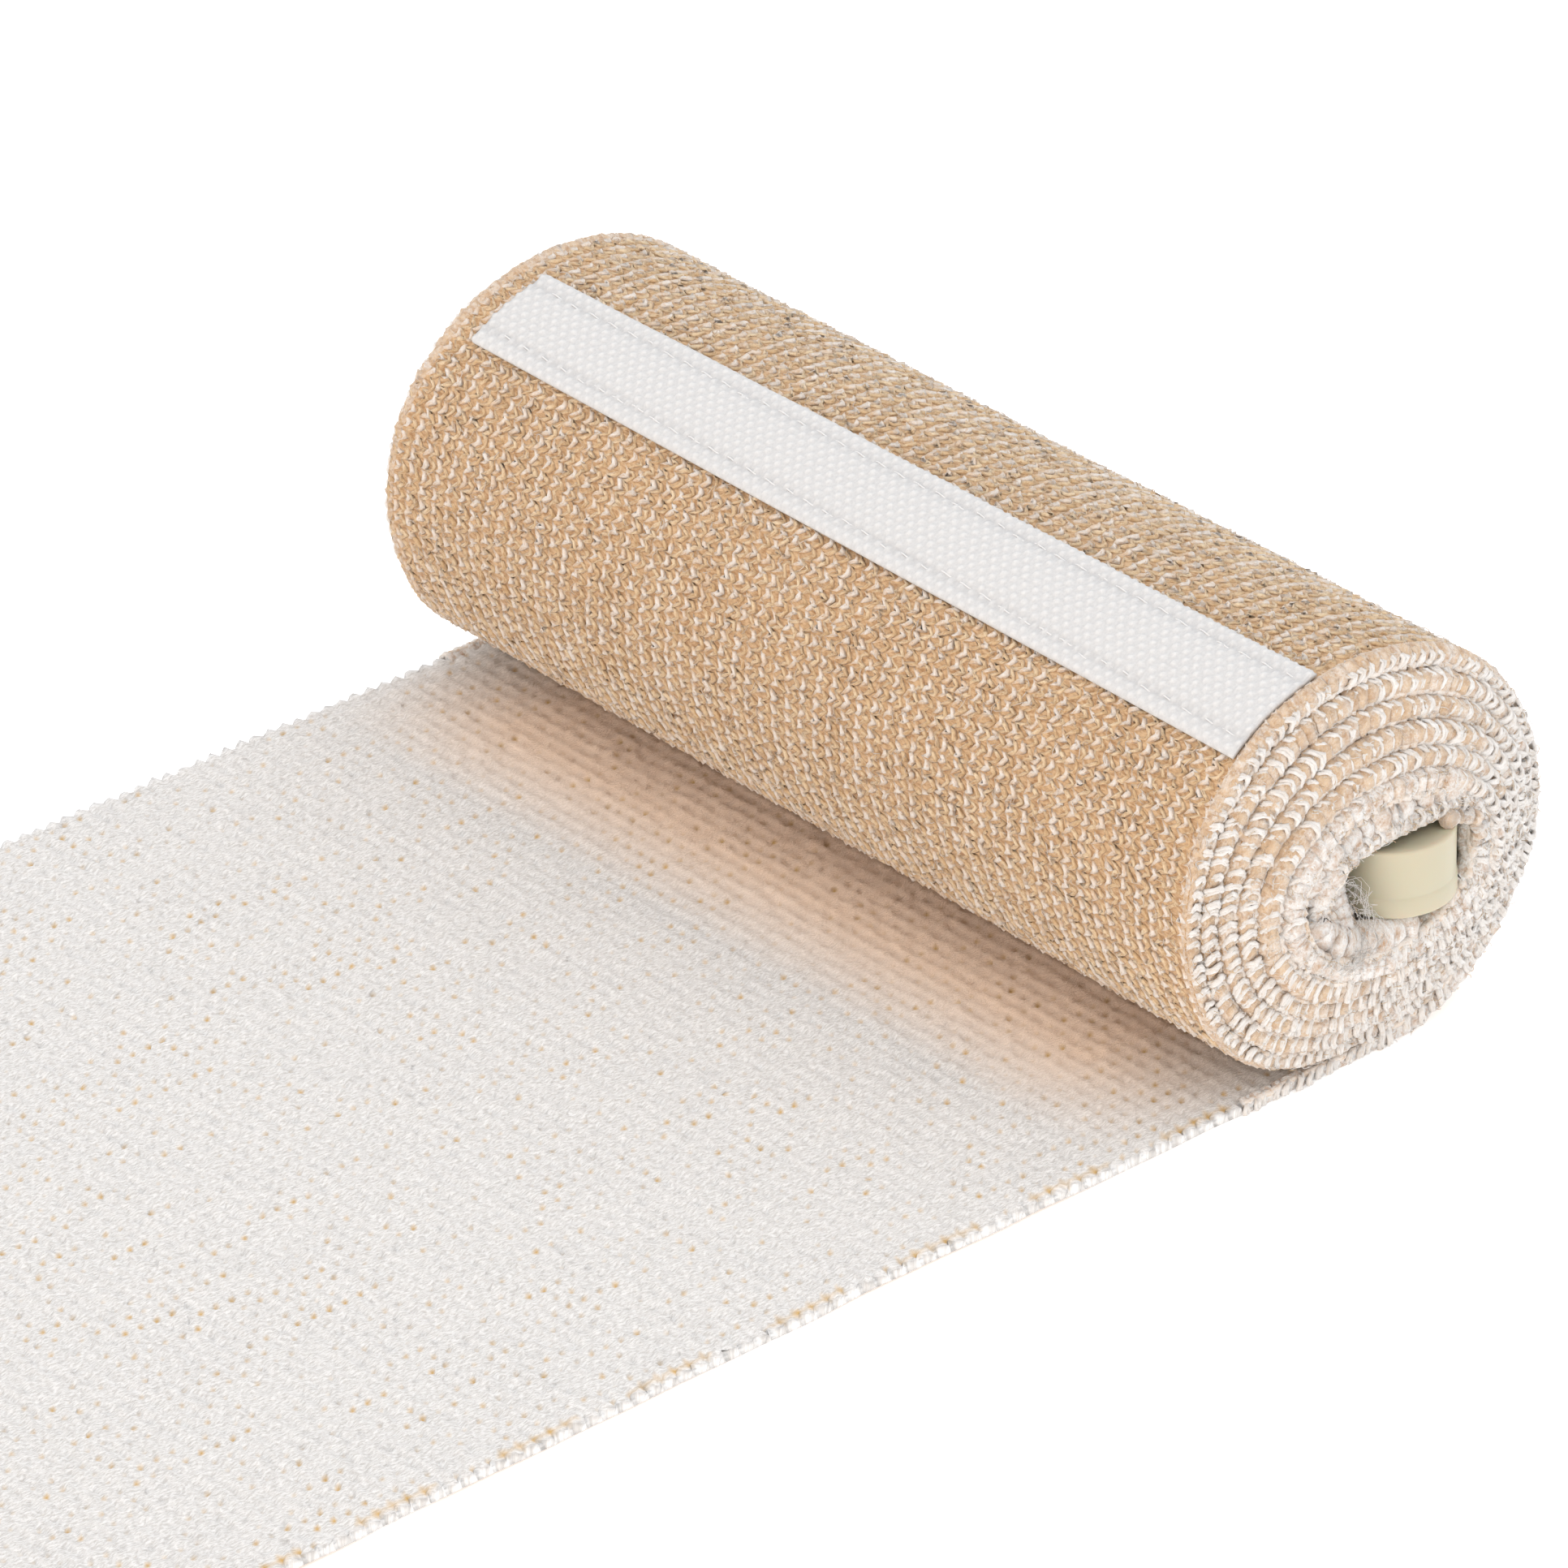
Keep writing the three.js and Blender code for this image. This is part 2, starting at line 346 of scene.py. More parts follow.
# The fibre clumps are painted lighter and darker: painted highlight and shade.
lit = add_node(tree, "ShaderNodeMapRange", {"Value": fibres.outputs[0], "From Min": 0.4,
                                            "From Max": 0.6})
body = add_node(tree, "ShaderNodeMix", {FACTOR: lit.outputs[0], FIRST: colour("#cbc8c4"),
                                        SECOND: colour("#f0efed")}, data_type="RGBA")
place = add_node(tree, "ShaderNodeSeparateXYZ", {"Vector": run})
# Painted light: near the roll, away from the band's edges, the face is mixed towards a warm light
# colour.
bounce_along = add_node(tree, "ShaderNodeMapRange", {"Value": place.outputs[0],
                                                "From Min": ROLL_START - BOUNCE_BEFORE,
                                                "From Max": ROLL_START - BOUNCE_FULL})
from_middle = add_node(tree, "ShaderNodeMath", {0: place.outputs[1]}, operation="ABSOLUTE")
bounce_across = add_node(tree, "ShaderNodeMapRange", {"Value": from_middle.outputs[0], "From Min": BOUNCE_NONE_ACROSS,
                                             "From Max": BOUNCE_FULL_ACROSS})
painted_bounce = add_node(tree, "ShaderNodeMath", {0: bounce_along.outputs[0], 1: bounce_across.outputs[0]},
                     operation="MULTIPLY")
with_painted_bounce = add_node(tree, "ShaderNodeMix", {FACTOR: painted_bounce.outputs[0], FIRST: body.outputs[MIXED],
                                          SECOND: colour("#fadfc6")}, data_type="RGBA")
tone = add_node(tree, "ShaderNodeAttribute", attribute_name="tone").outputs["Fac"]
covered = add_node(tree, "ShaderNodeMapRange", {"Value": tone, "From Min": 0.0, "From Max": 0.8})
face = add_node(tree, "ShaderNodeMix", {FACTOR: covered.outputs[0], FIRST: colour("#cfa450"),
                                        SECOND: with_painted_bounce.outputs[MIXED]}, data_type="RGBA")
tree.links.new(face.outputs[MIXED], shader.inputs["Base Color"])
bump = add_node(tree, "ShaderNodeBump", {"Height": fibres.outputs[0], "Strength": 0.9,
                                         "Distance": 0.0002})
tree.links.new(bump.outputs[0], shader.inputs["Normal"])

# The tail's free end is inside its white face, so that no two end faces lie in one plane.
ROLL_STEP, TAIL_STEP, COLUMN_STEP, END_INSET = 1.5, 3.0, 5.0, 0.4
EDGE_COLUMNS = (0, 0.3, 0.8, 1.5, 2.5)
SWELL_FROM, SWELL_EASE, SWELL_SHARE = 2.5, 2, 0.75  # over this width the cloth's edges swell
SWELL_BEFORE, SWELL_BEGIN = 14, 4  # and from this far before the roll
PLAIN_TONE = 0.95  # no tan shows in the white face
rows_along = np.concatenate([
    np.arange(END_INSET, ROLL_START, TAIL_STEP),
    np.linspace(ROLL_START, BAND_LENGTH, int((BAND_LENGTH - ROLL_START) / ROLL_STEP))])
near_columns = np.array(EDGE_COLUMNS) - BAND_WIDTH / 2
middle_columns = np.arange(COLUMN_STEP - BAND_WIDTH / 2, BAND_WIDTH / 2 - COLUMN_STEP / 2, COLUMN_STEP)
columns_across = np.concatenate([near_columns, middle_columns, -near_columns[::-1]])
grid_along, grid_across = np.meshgrid(rows_along, columns_across, indexing="ij")
swell = np.clip((np.abs(grid_across) - BAND_WIDTH / 2 + SWELL_FROM) / SWELL_EASE, 0, 1)
swell = SWELL_SHARE * swell * swell * (3 - 2 * swell)
swell = swell * np.clip((grid_along - ROLL_START + SWELL_BEFORE) / SWELL_BEGIN, 0, 1)
tan_lift = TAN_HALF + (reached(grid_along, 1.0) - TAN_HALF) * swell
white_lift = (reached(grid_along, -1.0) + WHITE_HALF) * swell - WHITE_HALF
points, faces = wrapped_sheet(on_band(grid_along, grid_across, tan_lift)[0],
                              on_band(grid_along, grid_across, white_lift)[0])
flat_uv = np.stack([grid_along, grid_across], -1)
flat_uv = np.concatenate([flat_uv, flat_uv[:, ::-1]], axis=1).reshape(-1, 2)
side = np.tile(np.repeat([0, 1], len(columns_across)), len(rows_along) - 1)
side = np.concatenate([side, np.zeros(len(faces) - len(side), int)])
band = make_piece("band", points, faces.tolist(), [tan_ground, white_ground], flat_uv[faces],
                  np.full(len(points), PLAIN_TONE), side)
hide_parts("bandage")


# stitches on the tan face
# On the outside of the roll an off-white yarn zigzags along each wale, with its tips towards the near
# end, and dips under a tan yarn that zigzags between it and the next. A wale is 1.69 mm wide and a
# course, one stitch, is 1.18 mm long.
COURSE, WALE = 1.18, 1.69
WALES = int(BAND_WIDTH / WALE)
STEPS_PER_COURSE = 4
COVERED_TURNS = 1.02
STAGGER, TAN_STAGGER = 0.35, 0.2  # in courses, from wale to wale and from the white yarn to the tan
UNEVEN = 0.1
EDGE_MARGIN = 0.1
YARN_SIDES = 3
YARN_APART = 7.3  # from yarn to yarn on the UV map, so that no two look alike

dice = np.random.default_rng(7)


def at_turn(value):
    """How far along the band that turn is, in millimetres from the tail's free end."""
    return float(np.interp(value, turn, line_along[TAIL_STATIONS:]))


def yarns(name, lines, ways, radius, sides, material, tone, flat=1.0):
    """One piece of many yarns. lines[yarn, point] is each one's middle line, ways the way out of the
    cloth there, tone a lightness from 0 to 1 a point, and flat the yarn's height over its width."""
    count, length = lines.shape[:2]
    radius = np.broadcast_to(radius, (count, length))
    lines = np.concatenate([lines[..., :2], np.maximum(lines[..., 2:], radius[..., None])], -1)
    forward = np.gradient(lines, axis=1)
    forward /= np.linalg.norm(forward, axis=2, keepdims=True)
    beside = np.cross(forward, ways)
    beside /= np.linalg.norm(beside, axis=2, keepdims=True)
    above = np.cross(beside, forward)
    turn_round = 2 * math.pi * np.arange(sides) / sides
    section = (above[:, :, None] * flat * np.cos(turn_round)[:, None]
               + beside[:, :, None] * np.sin(turn_round)[:, None])
    ring = lines[:, :, None] + radius[..., None, None] * section
    index = np.arange(count * length * sides).reshape(count, length, sides)
    after = np.roll(index, -1, axis=2)
    quads = np.stack([index[:, :-1], after[:, :-1], after[:, 1:], index[:, 1:]], -1).reshape(-1, 4)
    caps = index[:, 0, ::-1].tolist() + index[:, -1].tolist()
    steps = np.linalg.norm(np.diff(lines, axis=1), axis=2)
    run = np.concatenate([np.zeros((count, 1)), np.cumsum(steps, axis=1)], axis=1)
    run = run + np.arange(count)[:, None] * YARN_APART
    run_from = np.broadcast_to(run[:, :-1, None], (count, length - 1, sides))
    run_to = np.broadcast_to(run[:, 1:, None], (count, length - 1, sides))
    round_from = np.broadcast_to(np.arange(sides) / sides, (count, length - 1, sides))
    round_to = round_from + 1 / sides
    uv = np.stack([np.stack([run_from, round_from], -1), np.stack([run_from, round_to], -1),
                   np.stack([run_to, round_to], -1), np.stack([run_to, round_from], -1)], 3)
    uv = np.concatenate([uv.reshape(-1, 2), np.zeros((2 * count * sides, 2))])
    tones = np.repeat(np.broadcast_to(tone, (count, length)).reshape(-1), sides)
    made = make_piece(name, ring.reshape(-1, 3), quads.tolist() + caps, [material], uv, tones)
    return made


HAZE = 1.6
# Where the yarn's streaks turn to painted shade.
DEEP_SHADE_FROM, DEEP_SHADE_FULL = 0.36, 0.3


def yarn_material(name, dark, middle, light, roughness, sheen, dark_share, relief=0.0001):
    """Spun staple yarn. Its fibres run along it, drawn as streaks 0.4 mm wide and 0.5 mm long under a
    haze of 0.2 mm clumps, because single fibres are too fine to show."""
    made, tree, shader = start_material(name, Roughness=roughness, Sheen_Weight=sheen)
    run = add_node(tree, "ShaderNodeUVMap", uv_map="run").outputs[0]
    along_yarn = add_node(tree, "ShaderNodeMapping", {"Vector": run, "Scale": (2.0, 6.0, 1.0)})
    streaks = add_node(tree, "ShaderNodeTexNoise", {"Vector": along_yarn.outputs[0], "Scale": 1.0,
                                                    "Detail": 4, "Roughness": 0.7})
    place = add_node(tree, "ShaderNodeTexCoord").outputs["Object"]
    haze = add_node(tree, "ShaderNodeTexNoise", {"Vector": place, "Scale": 5200, "Detail": 3,
                                                 "Roughness": 0.7})
    tone = add_node(tree, "ShaderNodeAttribute", attribute_name="tone").outputs["Fac"]
    rough = add_node(tree, "ShaderNodeMath", {0: haze.outputs[0], 1: HAZE, 2: -HAZE / 2},
                     operation="MULTIPLY_ADD")
    tone = add_node(tree, "ShaderNodeMath", {0: tone, 1: rough.outputs[0]}, operation="ADD",
                    use_clamp=True)
    body = add_node(tree, "ShaderNodeMix", {FACTOR: tone.outputs[0], FIRST: colour(middle),
                                            SECOND: colour(light)}, data_type="RGBA")
    # Streaks that lie deep are painted in the dark colour: painted shade between the fibres.
    deep_shade = add_node(tree, "ShaderNodeMapRange", {"Value": streaks.outputs[0],
                                                 "From Min": DEEP_SHADE_FROM + dark_share,
                                                 "From Max": DEEP_SHADE_FULL})
    cloth = add_node(tree, "ShaderNodeMix", {FACTOR: deep_shade.outputs[0], FIRST: body.outputs[MIXED],
                                             SECOND: colour(dark)}, data_type="RGBA")
    tree.links.new(cloth.outputs[MIXED], shader.inputs["Base Color"])
    both = add_node(tree, "ShaderNodeMath", {0: streaks.outputs[0], 1: haze.outputs[0]},
                    operation="ADD")
    bump = add_node(tree, "ShaderNodeBump", {"Height": both.outputs[0], "Strength": 0.7,
                                             "Distance": relief})
    tree.links.new(bump.outputs[0], shader.inputs["Normal"])
    return made


# Tan spun cotton over an elastane core: matt and hairy, with painted brown shade where the fibres lie
# deep.
tan_yarn = yarn_material("Tan_spun_cotton", "#a67b50", "#ceae84", "#e4d0b0",
                         roughness=0.95, sheen=0.3, dark_share=0.17)
# Off-white spun cotton that tan fibres have worked into, most where it dips under the tan yarn.
mixed_yarn = yarn_material("Off_white_cotton_with_tan_fibres", "#c09b74", "#d0af88", "#e3dcd4",
                           roughness=0.85, sheen=0.3, dark_share=0.1)

outer_from, outer_to = at_turn(0.0), at_turn(COVERED_TURNS)
courses = int((outer_to - outer_from) / COURSE)
wale_middles = (np.arange(WALES) + 0.5) * BAND_WIDTH / WALES - BAND_WIDTH / 2


def zigzag(middles, stagger, swing, low, high):
    """A yarn that zigzags along each wale: it is highest at its tip towards the near end and lowest at
    the other. Gives the places along and across the band, the lift, and the height from -1 to 1."""
    step = np.arange(courses * STEPS_PER_COURSE + 1)
    wobble = dice.normal(0, UNEVEN, (3, len(middles), len(step)))
    hump = np.cos(2 * math.pi * step / STEPS_PER_COURSE) + 0 * middles[:, None]
    along = outer_from + COURSE * (step / STEPS_PER_COURSE + stagger[:, None]) + wobble[0]
    across = middles[:, None] - swing * hump + wobble[1]
    lift = (low + high) / 2 + (high - low) / 2 * hump + 0.5 * wobble[2]
    return along, across, lift, hump


stagger = dice.uniform(0, STAGGER, WALES)
along, across, lift, hump = zigzag(wale_middles + WALE / 2, stagger + TAN_STAGGER,
                                   swing=0.5, low=0.42, high=0.54)
across = np.clip(across, -BAND_WIDTH / 2 + EDGE_MARGIN, BAND_WIDTH / 2 - EDGE_MARGIN)
lines, ways = on_band(along, across, lift)
radius = 0.31 + dice.uniform(-0.08, 0.08, along.shape)
tone = dice.uniform(0, 1, along.shape)
tan_stitches = yarns("tan_stitches", lines, ways, radius, YARN_SIDES, tan_yarn, tone, 0.7)

along, across, lift, hump = zigzag(wale_middles, stagger, swing=0.46, low=0.28, high=0.62)
lines, ways = on_band(along, across, lift)
radius = 0.36 + 0.03 * hump + dice.uniform(-0.06, 0.05, along.shape)
tone = np.clip(0.5 + 0.5 * hump + dice.normal(0, 0.25, along.shape), 0, 1)
white_stitches = yarns("white_stitches", lines, ways, radius, YARN_SIDES, mixed_yarn, tone, 0.6)


def fuzz(name, along, across, lift, height, length, radius, material, tone):
    """Loose fibres that lie on the cloth in low arcs, one at each place."""
    part = np.linspace(0, 1, 4)
    count = (len(along), 1)
    heading = dice.uniform(0, 2 * math.pi, count)
    reach = length * dice.uniform(0.5, 1.3, count)
    curl = dice.normal(0, 0.25, count) * reach * np.sin(math.pi * part)
    along = along[:, None] + reach * np.cos(heading) * (part - 0.5) - curl * np.sin(heading)
    across = across[:, None] + reach * np.sin(heading) * (part - 0.5) + curl * np.cos(heading)
    lift = lift + height * dice.uniform(0.3, 1.2, count) * np.sin(math.pi * part)
    lines, ways = on_band(along, across, lift)
    return yarns(name, lines, ways, radius, YARN_SIDES, material, tone)


ROLL_FIBRES = 3000
FIBRE_LIFT, FIBRE_HEIGHT, FIBRE_LENGTH, FIBRE_RADIUS = 0.62, 0.25, 0.9, 0.035
fibre_along = dice.uniform(outer_from, outer_to, ROLL_FIBRES)
fibre_across = dice.uniform(-BAND_WIDTH / 2, BAND_WIDTH / 2, ROLL_FIBRES)
roll_fuzz = fuzz("roll_fuzz", fibre_along, fibre_across, FIBRE_LIFT, FIBRE_HEIGHT, FIBRE_LENGTH,
                 FIBRE_RADIUS, mixed_yarn, dice.uniform(0, 1, (ROLL_FIBRES, 1)))


# stitches on the white face
# The inside of the cloth shows on the tail: soft off-white stitches, which lie so close together that
# only small dents are left between them, with the tan yarn in some. One row is 1.5 mm long.
COURSE_TAIL, WALE_TAIL = 1.5, 100 / 64
STEPS_PER_STITCH = 3
FACE_LIFT, FACE_UNDER = -0.5, 0.44
DENT, SHALLOW_DENT, ROUGH = 0.28, 0.35, 0.07  # a shallow dent is a share of a dent
HOLE_SHIFT = 0.09
SCALLOP, SCALLOP_LEAST, SCALLOP_ODD = 0.35, 0.3, 0.25  # the looped edge, with its loops' outer ends
RIM_TOLERANCE, RIM_DOWN, RIM_OUT = 0.01, 0.12, 0.15
UNDER_ROLL, CORE_FROM, CORE_END, CORE_EDGE = 12.0, 5.3, 0.5, 0.3

# How much tan shows in the holes: clusters, a scatter, short rows of four stitches, most of the row
# beside the near edge, and one pulled thread.
CLUSTERED, CLUSTER_LENGTHS = 0.8, (31.0, 11.0, 5.3)
SCATTERED = 0.9
IN_ROWS, SHORT_ROW = 0.7, 4 * STEPS_PER_STITCH
EDGE_ROW, EDGE_ROW_WAVE, EDGE_ROW_BREAK = 2.2, 2.1, -0.3
PULLED, PULLED_ACROSS, PULLED_WIDTH, PULLED_FROM = 1.2, -17.0, 0.6, 36
TAN_SHARE, TAN_SPREAD, TAN_LEAST = 0.34, 0.27, 0.05
BESIDE_TONE, BESIDE_EDGE = 0.88, 0.35


def soft_face(name, from_along, to_along, from_across, to_across):
    """The stitches of the white face as one closed cushion with dents."""
    rows_at = np.arange(from_along, to_along, COURSE_TAIL / STEPS_PER_STITCH)
    columns_at = np.arange(from_across, to_across + RIM_TOLERANCE, WALE_TAIL / STEPS_PER_STITCH)
    grid_along, grid_across = np.meshgrid(rows_at, columns_at, indexing="ij")
    row_phase, column_phase = np.meshgrid(np.arange(len(rows_at)) % STEPS_PER_STITCH,
                                          np.arange(len(columns_at)) % STEPS_PER_STITCH,
                                          indexing="ij")
    hole = (row_phase == 1) & (column_phase == 1)
    beside_hole = (row_phase == 1) ^ (column_phase == 1)

    showing = CLUSTERED * waves(grid_along, grid_across, CLUSTER_LENGTHS)
    showing = showing + dice.normal(0, SCATTERED, hole.shape)
    short_rows = dice.normal(0, IN_ROWS, (len(rows_at) // SHORT_ROW + 1, len(columns_at)))
    showing = showing + np.repeat(short_rows, SHORT_ROW, axis=0)[:len(rows_at)]
    edge_row = grid_across < columns_at[STEPS_PER_STITCH]
    edge_row = edge_row & (np.sin(grid_along / EDGE_ROW_WAVE) > EDGE_ROW_BREAK)
    showing = showing + EDGE_ROW * edge_row
    pulled = PULLED * np.exp(-((grid_across - PULLED_ACROSS) / PULLED_WIDTH) ** 2)
    showing = showing + pulled * (grid_along > ROLL_START - PULLED_FROM)
    strength = np.clip(TAN_SHARE + TAN_SPREAD * showing, TAN_LEAST, 1.0)
    beside_tone = np.where(beside_hole, BESIDE_TONE - BESIDE_EDGE * edge_row, PLAIN_TONE)
    tone = np.where(hole, 1 - strength, beside_tone)

    relief = np.where(hole, DENT, 0.0) + np.where(beside_hole, SHALLOW_DENT * DENT, 0.0)
    relief = relief + dice.normal(0, ROUGH, hole.shape)
    rim = np.abs(grid_across) > BAND_WIDTH / 2 - RIM_TOLERANCE
    loops = (SCALLOP_LEAST + np.cos(2 * math.pi * (grid_along / COURSE_TAIL + 0.1))
             + SCALLOP_ODD * dice.normal(0, 1, (len(rows_at), 1)))
    outwards = SCALLOP * np.sign(grid_across) * rim * loops
    shifted = HOLE_SHIFT * hole * dice.normal(0, 1, (2, *hole.shape))
    top = on_band(grid_along + shifted[0], grid_across + outwards + shifted[1],
                  FACE_LIFT + relief + RIM_DOWN * rim)[0]
    under_along, under_across = np.meshgrid(rows_at, columns_at[[0, -1]], indexing="ij")
    under = on_band(under_along, under_across + RIM_OUT * np.sign(under_across), FACE_UNDER)[0]

    rows, columns = grid_along.shape
    points = np.concatenate([top.reshape(-1, 3), under.reshape(-1, 3)])
    above = np.arange(rows * columns).reshape(rows, columns)
    below = rows * columns + np.arange(rows * 2).reshape(rows, 2)
    quads = np.concatenate([
        np.stack([above[:-1, :-1], above[1:, :-1], above[1:, 1:], above[:-1, 1:]], -1).reshape(-1, 4),
        np.stack([below[:-1, 0], below[:-1, 1], below[1:, 1], below[1:, 0]], -1),
        np.stack([above[:-1, 0], below[:-1, 0], below[1:, 0], above[1:, 0]], -1),
        np.stack([above[:-1, -1], above[1:, -1], below[1:, 1], below[:-1, 1]], -1)])
    caps = [[*above[0].tolist(), int(below[0, 1]), int(below[0, 0])],
            [*above[-1, ::-1].tolist(), int(below[-1, 0]), int(below[-1, 1])]]
    point_uv = np.concatenate([np.stack([grid_along, grid_across], -1).reshape(-1, 2),
                               np.stack([under_along, under_across], -1).reshape(-1, 2)])
    face_uv = np.concatenate([point_uv[quads].reshape(-1, 2), point_uv[caps[0]], point_uv[caps[1]]])
    made = make_piece(name, points, quads.tolist() + caps, [white_ground], face_uv,
                      np.concatenate([tone.ravel(), np.ones(rows * 2)]))
    return made


white_face = soft_face("white_face", 0, ROLL_START + UNDER_ROLL, -BAND_WIDTH / 2, BAND_WIDTH / 2)
core_face = soft_face("core_face", at_turn(CORE_FROM), BAND_LENGTH - CORE_END,
                      CORE_EDGE - BAND_WIDTH / 2, -BAND_WIDTH / 4)


# the knitted edges
# Each edge of the band is closed by off-white loops, one a course. Like claws they reach from a white
# cord on the inner side over a tan cord on the outer side. Round the bar there is hardly any tan.
EDGE_COURSE = 1.1
EDGES_BEFORE, EDGES_END = 13, 0.6
CLAW = np.array((  # along, share of the reach, beyond the edge, radius
    (0.32, -0.95, -0.02, 0.12),
    (-0.02, -0.72, 0.32, 0.15),
    (-0.30, -0.24, 0.50, 0.17),
    (-0.34, 0.28, 0.53, 0.17),
    (-0.12, 0.70, 0.38, 0.16),
    (0.22, 0.92, 0.04, 0.14),
    (0.48, 0.84, -0.34, 0.09),
))
CLAW_SIDES, CORD_SIDES, FILL_SIDES = 5, 6, 10
CLAW_OUT = 0.88
OUTER_TURN_SHARE = 0.62  # on the outermost turn the claws stay on the edge
SIDES = (  # name, way, the strands of a claw along the edge, and how much thicker they are
    ("near", -1, (-0.11, 0.11), 1.25),
    ("far", 1, (0.0,), 1.6),
)

# Off-white spun cotton: paler, with a slight lustre on each hump.
white_yarn = yarn_material("Off_white_spun_cotton", "#cbbfaf", "#d8d2cb", "#e5e3e0",
                           roughness=0.85, sheen=0.4, dark_share=0.12)
# Off-white cotton with tan fibres where it is full and soft, in the filling of the edges.
filling_yarn = yarn_material("Soft_tan_cotton_filling", "#b5906d", "#d4b897", "#e9e7e4",
                             roughness=0.95, sheen=0.4, dark_share=0.19, relief=0.0003)

CORDS = (  # name, share of the reach, beyond the edge, thickness, step, yarn
    ("inner_cord_", -0.75, 0.0, 0.44, 0.5, mixed_yarn),
    ("outer_cord_", 0.5, 0.0, 0.42, 0.5, filling_yarn),
    ("filling_", 0.04, -0.35, 1.04, 0.275, filling_yarn),
)
PALE_FROM, PALE_TO, PALE_MOST = at_turn(5.0), at_turn(5.8), 0.8
# Where the filling faces right and down it is painted paler: painted light.
PAINTED_LIGHT_RIGHT, PAINTED_LIGHT_LOW, PAINTED_LIGHT_MOST = 0.85, 0.5, 0.9
TAIL_PALE, TAIL_PALE_PAST = 0.8, 12
WHITE_CORD_TONE, CORD_TONE, CORD_TONE_SPREAD = 0.9, 0.18, 0.2
BULGE, BULGE_SPREAD, BULGE_PHASE, BULGE_THICK = 0.1, 0.07, 0.05, 0.4

loop_along = np.arange(ROLL_START - EDGES_BEFORE, BAND_LENGTH - EDGES_END, EDGE_COURSE)
for side_name, side_sign, strands, thicker in SIDES:
    jitter = dice.normal(0, 1, (4, len(loop_along), 1))
    for strand, shift in enumerate(strands):
        own = dice.normal(0, 0.06, (3, len(loop_along), len(CLAW)))
        along = loop_along[:, None] + shift + 0.14 * jitter[0] + CLAW[:, 0] * (1 + 0.25 * jitter[1])
        along = along + own[0]
        share = np.clip(CLAW[:, 1] * (1 + 0.12 * jitter[2]), -1.05, 1.0) + own[1]
        share = np.where((along < at_turn(1.0)) & (share > 0), OUTER_TURN_SHARE * share, share)
        beyond = CLAW_OUT * CLAW[:, 2] * (1 + 0.15 * jitter[3]) + 0.05 * jitter[3] + 0.6 * own[2]
        lines, ways = on_band(along, side_sign * (BAND_WIDTH / 2 + beyond), reached(along, share))
        lean = np.arctan2(CLAW[:, 2] + 0.1, CLAW[:, 1])[:, None]
        outward = ways * np.cos(lean) + np.array([0, side_sign, 0]) * np.sin(lean)
        radius = CLAW[:, 3] * thicker * dice.uniform(0.8, 1.2, along.shape)
        yarns(f"claws_{side_name}_{strand + 1}", lines, outward, radius, CLAW_SIDES,
                           white_yarn, dice.uniform(0, 1, along.shape))
    # The tan filling bulges between the claws. Low down on the right, where it faces away from most of
    # the light, it is painted nearly white: painted light.
    for cord_name, share, beyond, thick, step, yarn in CORDS:
        cord_along = np.arange(ROLL_START - EDGES_BEFORE, BAND_LENGTH, step)[None]
        # Painted light: the cord is paler where it faces right and down.
        facing_right_low = (PAINTED_LIGHT_RIGHT * np.interp(cord_along, line_along, line_out_x)
                  - PAINTED_LIGHT_LOW * np.interp(cord_along, line_along, line_out_z))
        pale_and_painted_light = np.clip((cord_along - PALE_FROM) / (PALE_TO - PALE_FROM), 0, PALE_MOST)
        pale_and_painted_light = pale_and_painted_light + PAINTED_LIGHT_MOST * np.clip(facing_right_low, 0, 1)
        pale_and_painted_light = pale_and_painted_light + CORD_TONE + TAIL_PALE * (cord_along < ROLL_START + TAIL_PALE_PAST)
        tone = WHITE_CORD_TONE if yarn is mixed_yarn else pale_and_painted_light
        tone = np.clip(tone + dice.normal(0, CORD_TONE_SPREAD, cord_along.shape), 0, 1)
        bulge = -np.cos(2 * math.pi * (cord_along - ROLL_START - BULGE_PHASE) / EDGE_COURSE)
        lump = BULGE * bulge + dice.normal(0, BULGE_SPREAD, cord_along.shape)
        lines, ways = on_band(cord_along, side_sign * (BAND_WIDTH / 2 + beyond + lump),
                              reached(cord_along, share))
        half = (reached(cord_along, 1.0) - reached(cord_along, -1.0)) / 2
        yarns(cord_name + side_name, lines, ways, thick * half + BULGE_THICK * lump,
                           CORD_SIDES, yarn, tone)

# Round the bar and beside it the soft end of the cloth curls in and fills the core.
FILL_STEP, FILL_SPREAD = 0.4, 0.14
FILLS = (  # name, the turns it lies between, lift, beyond the edge, radius, least tone
    ("under_bar", 5.76, 6.03, -2.1, -1.0, 1.5, 0.7),
    ("right_of_bar", 6.03, 6.32, -0.9, -0.6, 0.7, 0.7),
    ("above_bar", 6.4, 6.74, 1.2, -0.9, 1.25, 0.7),
    ("over_bar", 6.25, 6.46, -0.85, 0.6, 0.55, 0.2),
    ("in_fold", 6.62, 7.0, -1.15, -1.4, 0.85, 0.7),
    ("beside_bar", 7.0, 7.36, 0.9, -1.8, 0.6, 0.7),
)
for fill_name, from_turn, to_turn, lift, beyond, thick, least_tone in FILLS:
    cord_along = np.arange(at_turn(from_turn), at_turn(to_turn), FILL_STEP)[None]
    lump = dice.normal(0, FILL_SPREAD, cord_along.shape)
    lines, ways = on_band(cord_along, -(BAND_WIDTH / 2 + beyond + lump), lift + lump)
    yarns(fill_name, lines, ways, thick + lump, FILL_SIDES, filling_yarn,
                       dice.uniform(least_tone, 1, cord_along.shape))

